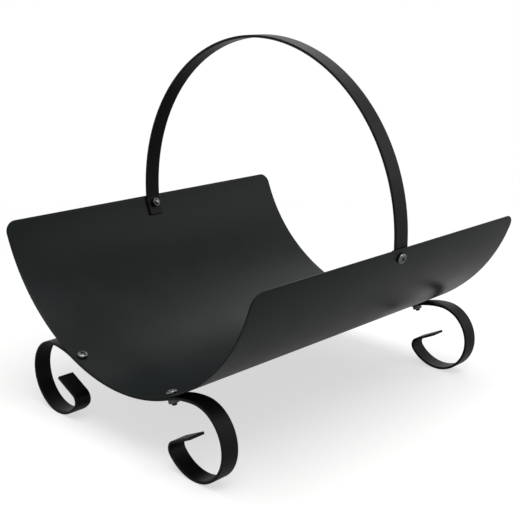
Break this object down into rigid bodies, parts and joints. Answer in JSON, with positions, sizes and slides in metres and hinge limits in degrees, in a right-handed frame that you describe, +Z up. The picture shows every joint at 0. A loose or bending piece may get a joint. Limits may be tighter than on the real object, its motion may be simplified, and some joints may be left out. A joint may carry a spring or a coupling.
{
  "type": "firewood rack",
  "caption": "Rolled sheet-steel trough on flat-bar legs with scroll feet and a hoop handle, for keeping and carrying firewood by a stove or fireplace.",
  "frame": {"origin": "on the floor, in the middle of the four feet and of the trough's length", "axes": "+Z up, +Y along the trough from the front end to the rear end, +X to the right across the trough"},
  "size_m": [0.4056, 0.43, 0.416],
  "materials": {
    "black_powder_coat": "satin black powder coat",
    "zinc_plated_steel": "bright zinc plate"
  },
  "bodies": {
    "root": {"trough": "black_powder_coat", "front_leg": "black_powder_coat", "rear_leg": "black_powder_coat", "handle": "black_powder_coat", "leg_screw_front_left": "zinc_plated_steel", "leg_screw_front_right": "zinc_plated_steel", "leg_screw_rear_left": "zinc_plated_steel", "leg_screw_rear_right": "zinc_plated_steel", "handle_screw_left": "zinc_plated_steel", "handle_screw_right": "zinc_plated_steel", "leg_nut_front_left": "zinc_plated_steel", "leg_nut_front_right": "zinc_plated_steel", "leg_nut_rear_left": "zinc_plated_steel", "leg_nut_rear_right": "zinc_plated_steel", "handle_nut_left": "zinc_plated_steel", "handle_nut_right": "zinc_plated_steel"}
  },
  "joints": []
}
